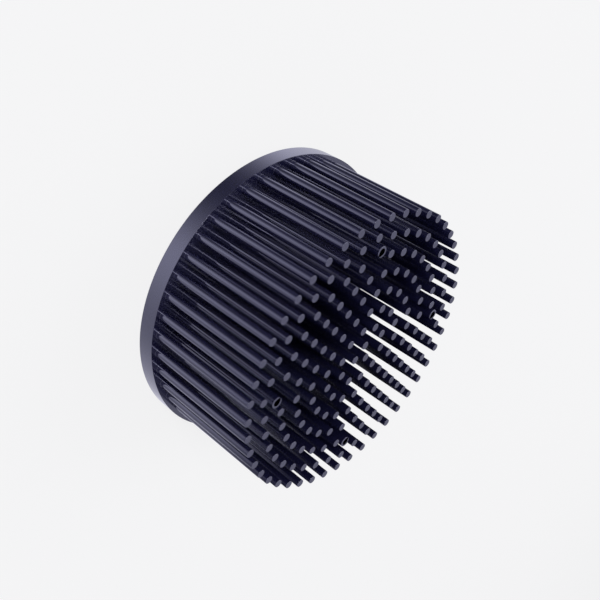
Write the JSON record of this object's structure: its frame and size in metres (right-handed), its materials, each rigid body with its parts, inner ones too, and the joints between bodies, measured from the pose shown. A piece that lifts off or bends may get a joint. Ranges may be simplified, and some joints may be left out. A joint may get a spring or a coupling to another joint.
{
  "type": "pin fin heat sink",
  "caption": "Round forged heat sink: a flat disc base carrying concentric rings of tall slim pins, with split hollow screw posts standing among them.",
  "frame": {"origin": "centre of the base's flat underside", "axes": "+Z from the base up along the pins, +X along the radius on which every ring of pins starts"},
  "size_m": [0.155, 0.155, 0.07],
  "materials": {
    "black_anodised": "black anodised, satin"
  },
  "bodies": {
    "root": {"heat_sink": "black_anodised"}
  },
  "joints": []
}
